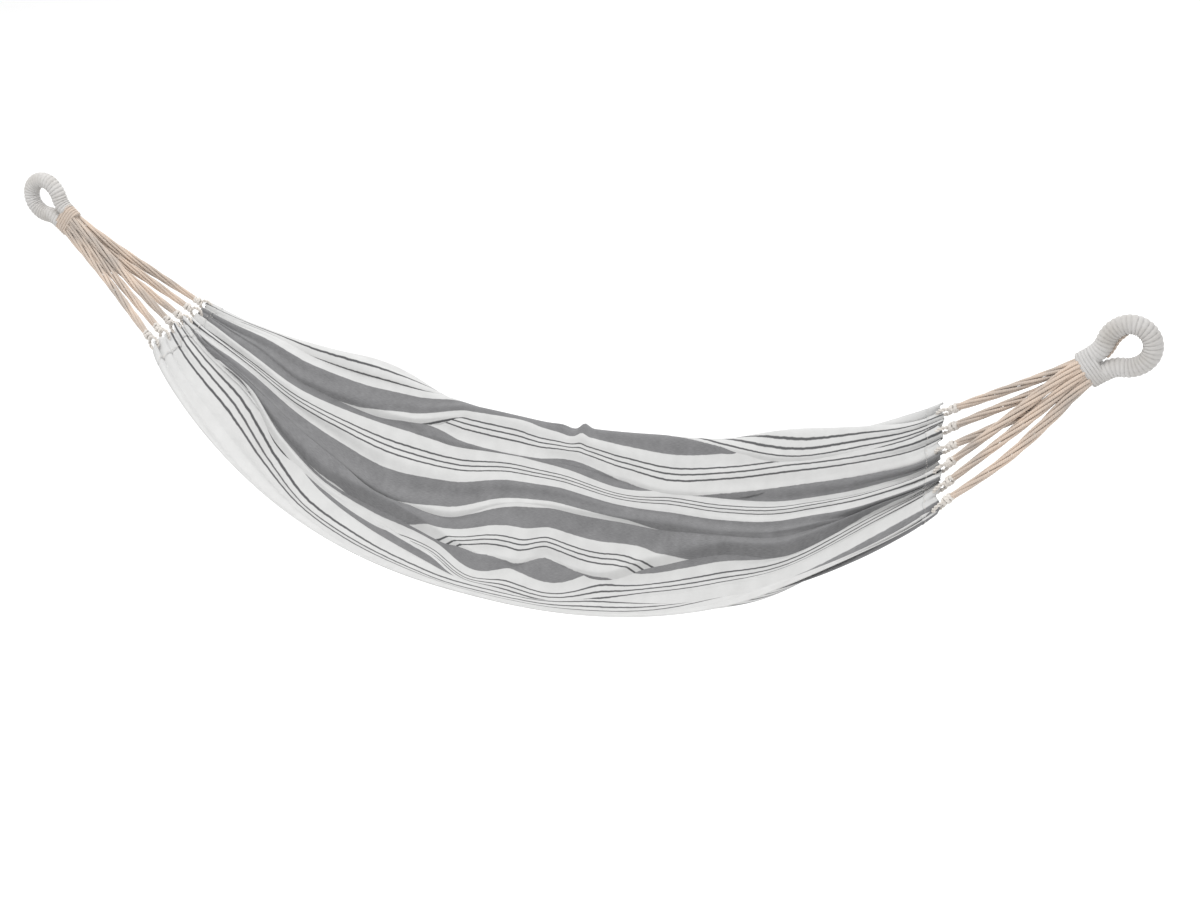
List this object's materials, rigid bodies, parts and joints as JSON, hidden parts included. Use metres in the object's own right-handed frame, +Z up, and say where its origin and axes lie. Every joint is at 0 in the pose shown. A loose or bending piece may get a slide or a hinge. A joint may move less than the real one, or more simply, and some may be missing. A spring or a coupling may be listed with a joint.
{
  "type": "hammock",
  "caption": "Striped cotton hammock: one gathered cloth bed hung by fans of cotton cord from two whipped rope eyes, without a stand.",
  "frame": {"origin": "the point on the inner crown of the left eye that rests on its hook", "axes": "+X level from the left eye's hook point to the right eye's, +Y towards the far, higher side of the bed, through the eyes' holes, +Z up"},
  "size_m": [2.4996, 0.5617, 0.7319],
  "materials": {
    "striped_cloth": "plain-weave cotton, off-white with grey stripes",
    "hem_cloth": "doubled plain-weave cotton",
    "clew_cord": "natural twisted cotton cord",
    "tie_cord": "thin natural cotton cord",
    "seizing_cord": "natural cotton binding cord",
    "whipping_cord": "light grey cotton cord, tightly whipped",
    "core_rope": "natural cotton rope bundle"
  },
  "bodies": {
    "hanging_eyes": {"eye_core_left": "core_rope", "eye_core_right": "core_rope", "eye_whipping_left": "whipping_cord", "eye_whipping_right": "whipping_cord", "throat_seizing_left": "seizing_cord", "throat_seizing_right": "seizing_cord"},
    "sling": {"fabric_bed": "striped_cloth", "end_hem_left": "hem_cloth", "end_hem_right": "hem_cloth", "clew_cord_left_1": "clew_cord", "clew_cord_left_2": "clew_cord", "clew_cord_left_3": "clew_cord", "clew_cord_left_4": "clew_cord", "clew_cord_left_5": "clew_cord", "clew_cord_left_6": "clew_cord", "clew_cord_right_1": "clew_cord", "clew_cord_right_2": "clew_cord", "clew_cord_right_3": "clew_cord", "clew_cord_right_4": "clew_cord", "clew_cord_right_5": "clew_cord", "clew_cord_right_6": "clew_cord", "tie_ring_left_1": "tie_cord", "tie_ring_left_2": "tie_cord", "tie_ring_left_3": "tie_cord", "tie_ring_left_4": "tie_cord", "tie_ring_left_5": "tie_cord", "tie_ring_left_6": "tie_cord", "tie_ring_right_1": "tie_cord", "tie_ring_right_2": "tie_cord", "tie_ring_right_3": "tie_cord", "tie_ring_right_4": "tie_cord", "tie_ring_right_5": "tie_cord", "tie_ring_right_6": "tie_cord", "clew_knot_left_1": "clew_cord", "clew_knot_left_2": "clew_cord", "clew_knot_left_3": "clew_cord", "clew_knot_left_4": "clew_cord", "clew_knot_left_5": "clew_cord", "clew_knot_left_6": "clew_cord", "clew_knot_right_1": "clew_cord", "clew_knot_right_2": "clew_cord", "clew_knot_right_3": "clew_cord", "clew_knot_right_4": "clew_cord", "clew_knot_right_5": "clew_cord", "clew_knot_right_6": "clew_cord"}
  },
  "joints": [
    {"name": "swing", "type": "hinge", "parent": "hanging_eyes", "child": "sling", "pos_m": [1.21, 0, -0.0683], "axis": [1, 0, 0], "range_deg": [-35, 35]}
  ]
}
